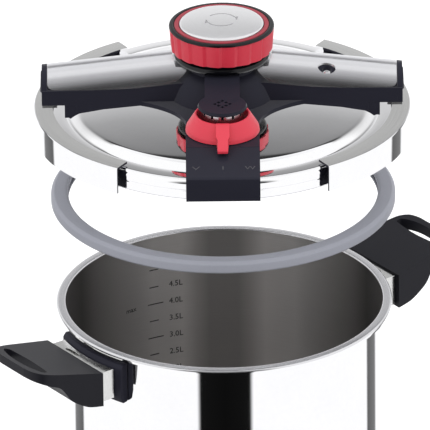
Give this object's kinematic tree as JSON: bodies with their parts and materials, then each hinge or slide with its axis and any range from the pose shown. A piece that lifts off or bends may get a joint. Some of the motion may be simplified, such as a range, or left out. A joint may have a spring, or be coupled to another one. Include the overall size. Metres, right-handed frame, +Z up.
{
  "type": "stovetop pressure cooker",
  "caption": "Steel pressure cooker with a clamp lid: ribbed turning knob, sliding jaws under a black bridge, valve selector, sealing ring and ear handles.",
  "frame": {"origin": "on the pot's axis, in the plane it stands on", "axes": "+Z up along the pot's axis; +X along the lid's right arm; -Y to the front strip with the selector"},
  "size_m": [0.3146, 0.2504, 0.3777],
  "materials": {
    "polished_steel": "mirror-polished stainless steel",
    "brushed_steel": "satin stainless steel",
    "aluminium": "pressed aluminium",
    "black_plastic": "satin moulded black plastic",
    "red_plastic": "satin moulded red plastic",
    "grey_silicone": "smooth grey silicone",
    "dark_rubber": "black rubber",
    "plated_steel": "turned and plated steel"
  },
  "bodies": {
    "pot": {"pot_shell": "polished_steel", "base_core": "aluminium", "base_cap": "brushed_steel", "right_bracket": "brushed_steel", "right_collar": "black_plastic", "right_flame_guard": "polished_steel", "right_grip": "black_plastic", "right_handle_screw": "plated_steel", "left_bracket": "brushed_steel", "left_collar": "black_plastic", "left_flame_guard": "polished_steel", "left_grip": "black_plastic", "left_handle_screw": "plated_steel"},
    "seal": {"sealing_ring": "grey_silicone"},
    "lid": {"lid_shell": "polished_steel", "bridge_housing": "black_plastic", "floor_washer": "plated_steel", "right_cover": "polished_steel", "left_cover": "polished_steel", "valve_hood": "black_plastic", "valve_body": "plated_steel", "valve_gasket": "dark_rubber", "valve_nut": "plated_steel", "valve_spring": "plated_steel", "valve_cap": "plated_steel", "indicator_sleeve": "plated_steel", "indicator_nut": "plated_steel", "relief_seat": "plated_steel", "relief_nut": "plated_steel", "centre_stud": "plated_steel", "centre_gasket": "dark_rubber", "centre_nut": "plated_steel", "knob_retainer": "plated_steel"},
    "valve_plunger": {"valve_plunger": "plated_steel"},
    "indicator": {"indicator_pin": "plated_steel"},
    "relief_plug": {"relief_plug": "dark_rubber"},
    "selector": {"selector_ring": "red_plastic"},
    "knob": {"knob_grip": "red_plastic", "knob_band": "black_plastic", "knob_inner_ring": "red_plastic", "knob_cap": "brushed_steel", "knob_collar": "black_plastic", "knob_spindle": "plated_steel", "cam_disc": "plated_steel"},
    "right_jaw": {"right_jaw": "polished_steel", "right_jaw_arm": "plated_steel", "right_follower_pin": "plated_steel", "right_jaw_rivet_front": "plated_steel", "right_jaw_rivet_rear": "plated_steel"},
    "left_jaw": {"left_jaw": "polished_steel", "left_jaw_arm": "plated_steel", "left_follower_pin": "plated_steel", "left_jaw_rivet_front": "plated_steel", "left_jaw_rivet_rear": "plated_steel"}
  },
  "joints": [
    {"name": "lid_lift", "type": "slide", "parent": "pot", "child": "lid", "axis": [0, 0, 1], "range_m": [-0.1345, 0]},
    {"name": "seal_seat", "type": "slide", "parent": "lid", "child": "seal", "axis": [0, 0, 1], "range_m": [0, 0.0602]},
    {"name": "knob_turn", "type": "hinge", "parent": "lid", "child": "knob", "pos_m": [0, 0, 0.3605], "axis": [0, 0, -1], "range_deg": [0, 120]},
    {"name": "right_jaw_slide", "type": "slide", "parent": "lid", "child": "right_jaw", "axis": [-1, 0, 0], "range_m": [0, 0.0072]},
    {"name": "left_jaw_slide", "type": "slide", "parent": "lid", "child": "left_jaw", "axis": [1, 0, 0], "range_m": [0, 0.0072]},
    {"name": "selector_turn", "type": "hinge", "parent": "lid", "child": "selector", "pos_m": [0, -0.065, 0.3265], "axis": [0, 0, 1], "range_deg": [-28, 28]},
    {"name": "indicator_rise", "type": "slide", "parent": "lid", "child": "indicator", "axis": [0, 0, 1], "range_m": [0, 0.004]},
    {"name": "valve_lift", "type": "slide", "parent": "lid", "child": "valve_plunger", "axis": [0, 0, 1], "range_m": [0, 0.002], "stiffness_N_per_m": 900, "springref_m": -0.004, "deforming": ["valve_spring"]},
    {"name": "relief_lift", "type": "slide", "parent": "lid", "child": "relief_plug", "axis": [0, 0, 1], "range_m": [0, 0.003]}
  ],
  "couplings": [
    {"joint": "seal_seat", "follows": "lid_lift", "ratio": -0.44758},
    {"joint": "right_jaw_slide", "follows": "knob_turn", "m_per_rad": 0.0034377},
    {"joint": "left_jaw_slide", "follows": "knob_turn", "m_per_rad": 0.0034377}
  ]
}
